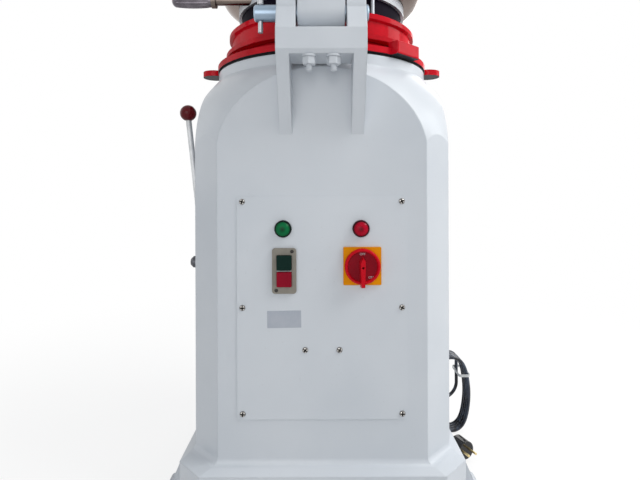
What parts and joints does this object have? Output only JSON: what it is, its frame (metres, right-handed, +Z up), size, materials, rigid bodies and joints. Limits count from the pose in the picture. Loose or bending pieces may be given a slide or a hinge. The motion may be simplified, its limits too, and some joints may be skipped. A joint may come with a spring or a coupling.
{
  "type": "dough divider rounder",
  "caption": "Bakery dough divider rounder: tilting press head with knives and lever over an orbiting table on a cast column, with rear switch panel, rounding lever and mains cord.",
  "frame": {"origin": "on the floor at the middle of the four anchor holes, under the column's axis", "axes": "+Z up, -Y towards the rear switch panel and the head hinge, +X towards the mains cord"},
  "size_m": [0.66, 0.564, 1.4842],
  "materials": {
    "white_paint": "gloss enamel",
    "panel_paint": "satin enamel",
    "red_paint": "gloss enamel",
    "grey_paint": "satin enamel",
    "bright_steel": "machined",
    "chrome": "polished",
    "bell_metal": "polished",
    "iron": "as cast",
    "bronze": "machined",
    "pin_brass": "polished",
    "black_rubber": "matte",
    "cord_rubber": "satin",
    "black_plastic": "satin",
    "grip_plastic": "satin",
    "white_plastic": "satin",
    "grey_plastic": "satin",
    "yellow_plastic": "gloss",
    "red_plastic": "gloss",
    "green_plastic": "gloss",
    "ball_plastic": "gloss",
    "green_lens": "translucent",
    "red_lens": "translucent"
  },
  "bodies": {
    "column": {"column_shell": "white_paint", "base_skirt": "white_paint", "back_panel": "panel_paint", "panel_screws": "bright_steel", "lamp_bezels": "black_plastic", "green_lamp": "green_lens", "red_lamp": "red_lens", "button_station": "grey_plastic", "isolator_plate": "yellow_plastic", "hinge_yoke": "white_paint", "hinge_pin": "bright_steel", "pin_lock_rod": "bright_steel", "friction_pad": "black_rubber", "bridge_studs": "white_paint", "ring_gasket": "black_rubber", "base_ring": "red_paint", "bearing_housing": "iron", "main_bearings": "bright_steel", "motor_body": "grey_paint", "motor_bracket": "grey_paint", "v_belt": "black_rubber", "lever_bush": "bronze", "lever_switch": "black_plastic", "cable_gland": "black_plastic", "cord_lead": "cord_rubber", "cord_hank": "cord_rubber", "cord_tail": "cord_rubber", "cord_tie": "white_plastic", "plug_body": "black_plastic", "plug_pins": "pin_brass"},
    "start_button": {"start_button": "green_plastic"},
    "stop_button": {"stop_button": "red_plastic"},
    "isolator": {"isolator_knob": "red_plastic"},
    "rounding_lever": {"lever_shaft": "bright_steel", "lever_rod": "chrome", "lever_ball": "ball_plastic"},
    "crank": {"crank_shaft": "bright_steel", "driven_pulley": "iron", "balance_weight": "iron"},
    "table": {"table_casting": "red_paint", "moulding_plate": "white_plastic", "table_bearing": "bright_steel"},
    "idler_1": {"idler_crank_1": "bright_steel"},
    "idler_2": {"idler_crank_2": "bright_steel"},
    "idler_3": {"idler_crank_3": "bright_steel"},
    "motor_rotor": {"motor_rotor": "bright_steel"},
    "head": {"head_arm": "white_paint", "hinge_bush": "bronze", "bell": "bell_metal", "bell_screws": "bright_steel", "pressure_ring": "black_plastic"},
    "press": {"press_spindle": "bright_steel", "press_plate": "white_plastic"},
    "press_lever": {"pinion_shaft": "bright_steel", "press_lever_bar": "chrome", "press_lever_grip": "black_plastic"},
    "collar": {"turning_collar": "white_paint", "handle_rod": "chrome", "handle_grip": "grip_plastic"},
    "knives": {"knife_grid": "bright_steel"}
  },
  "joints": [
    {"name": "head_tilt", "type": "hinge", "parent": "column", "child": "head", "pos_m": [0, -0.256, 0.886], "axis": [1, 0, 0], "range_deg": [0, 58]},
    {"name": "press_lever_swing", "type": "hinge", "parent": "head", "child": "press_lever", "pos_m": [0, -0.03775, 1.15], "axis": [-1, 0, 0], "range_deg": [0, 48]},
    {"name": "press_slide", "type": "slide", "parent": "head", "child": "press", "axis": [0, 0, -1], "range_m": [0, 0.0201]},
    {"name": "knife_slide", "type": "slide", "parent": "head", "child": "knives", "axis": [0, 0, -1], "range_m": [0, 0.0315]},
    {"name": "collar_turn", "type": "hinge", "parent": "head", "child": "collar", "pos_m": [0, 0, 0.966], "axis": [0, 0, -1], "range_deg": [0, 35]},
    {"name": "crank_spin", "type": "hinge", "parent": "column", "child": "crank", "pos_m": [0, 0, 0.7], "axis": [0, 0, 1], "continuous": true},
    {"name": "table_orbit", "type": "hinge", "parent": "crank", "child": "table", "pos_m": [0, 0.009, 0.87], "axis": [0, 0, 1], "continuous": true},
    {"name": "idler_1_spin", "type": "hinge", "parent": "column", "child": "idler_1", "pos_m": [0, 0.13, 0.845], "axis": [0, 0, 1], "continuous": true},
    {"name": "idler_2_spin", "type": "hinge", "parent": "column", "child": "idler_2", "pos_m": [-0.11258, -0.065, 0.845], "axis": [0, 0, 1], "continuous": true},
    {"name": "idler_3_spin", "type": "hinge", "parent": "column", "child": "idler_3", "pos_m": [0.11258, -0.065, 0.845], "axis": [0, 0, 1], "continuous": true},
    {"name": "motor_spin", "type": "hinge", "parent": "column", "child": "motor_rotor", "pos_m": [0, 0.152, 0.5], "axis": [0, 0, 1], "continuous": true},
    {"name": "rounding_lever_swing", "type": "hinge", "parent": "column", "child": "rounding_lever", "pos_m": [-0.257, -0.04, 0.427], "axis": [-1, 0, 0], "range_deg": [0, 28]},
    {"name": "isolator_turn", "type": "hinge", "parent": "column", "child": "isolator", "pos_m": [0.07, -0.245, 0.452], "axis": [0, 1, 0], "range_deg": [0, 90]},
    {"name": "start_press", "type": "slide", "parent": "column", "child": "start_button", "axis": [0, 1, 0], "range_m": [0, 0.004]},
    {"name": "stop_press", "type": "slide", "parent": "column", "child": "stop_button", "axis": [0, 1, 0], "range_m": [0, 0.004]}
  ],
  "couplings": [
    {"joint": "press_slide", "follows": "press_lever_swing", "m_per_rad": 0.024},
    {"joint": "table_orbit", "follows": "crank_spin", "ratio": -1},
    {"joint": "idler_1_spin", "follows": "crank_spin", "ratio": 1},
    {"joint": "idler_2_spin", "follows": "crank_spin", "ratio": 1},
    {"joint": "idler_3_spin", "follows": "crank_spin", "ratio": 1},
    {"joint": "motor_spin", "follows": "crank_spin", "ratio": 2.726}
  ]
}
